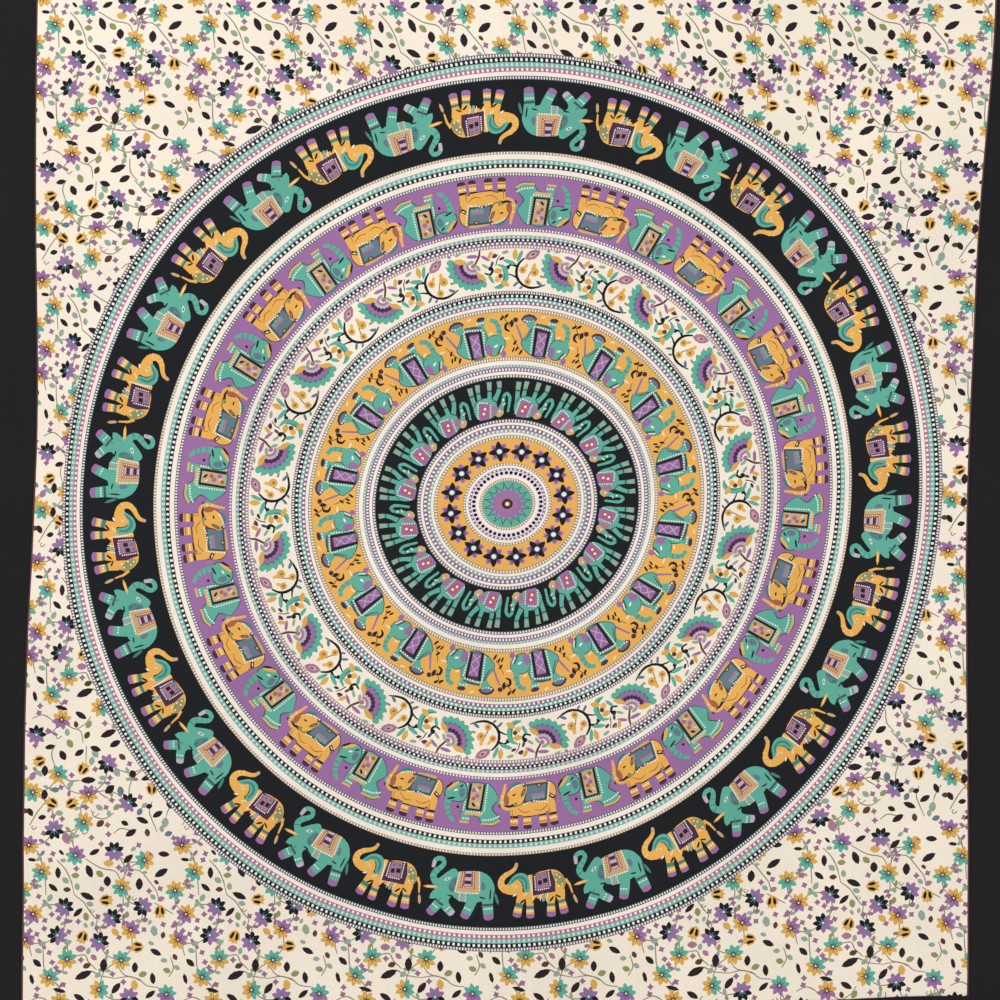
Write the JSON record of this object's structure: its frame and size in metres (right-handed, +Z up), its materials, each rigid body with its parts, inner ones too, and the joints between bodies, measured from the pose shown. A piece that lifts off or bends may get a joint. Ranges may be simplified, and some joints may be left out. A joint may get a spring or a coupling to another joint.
{
  "type": "tapestry wall hanging",
  "caption": "Large hemmed cotton cloth with a printed round elephant and flower medallion, sewn dark borders and a rod sleeve on its back, hung from a wooden rod with turned end caps.",
  "frame": {"origin": "middle of the hanging rod's axis", "axes": "+X along the rod, to the right of someone facing the printed side; +Y from the printed side to the wall; +Z up"},
  "size_m": [2.3426, 0.036, 2.286],
  "materials": {
    "printed_cotton": "thin plain-weave cotton with dyed print, matt",
    "border_cotton": "thin plain-weave cotton, black, matt",
    "thread": "spun sewing thread, black",
    "rod_wood": "sanded dowel, satin oil",
    "cap_wood": "turned hardwood, satin lacquer"
  },
  "bodies": {
    "rod": {"dowel_rod": "rod_wood"},
    "cloth": {"printed_panel": "printed_cotton", "border_left": "border_cotton", "border_right": "border_cotton", "border_top": "border_cotton", "border_bottom": "border_cotton", "seam_thread_left": "thread", "seam_thread_right": "thread", "seam_thread_top": "thread", "seam_thread_bottom": "thread", "hem_thread_left": "thread", "hem_thread_right": "thread", "hem_thread_top": "thread", "hem_thread_bottom": "thread", "rod_sleeve_upper": "border_cotton", "rod_sleeve_lower": "border_cotton", "sleeve_thread_upper": "thread", "sleeve_thread_lower": "thread"},
    "left_cap": {"end_cap_left": "cap_wood"},
    "right_cap": {"end_cap_right": "cap_wood"}
  },
  "joints": [
    {"name": "cloth_swing", "type": "hinge", "parent": "rod", "child": "cloth", "pos_m": [0, 0, 0], "axis": [-1, 0, 0], "range_deg": [0, 90]},
    {"name": "left_cap_pull", "type": "slide", "parent": "rod", "child": "left_cap", "axis": [-1, 0, 0], "range_m": [0, 0.03]},
    {"name": "right_cap_pull", "type": "slide", "parent": "rod", "child": "right_cap", "axis": [1, 0, 0], "range_m": [0, 0.03]}
  ]
}
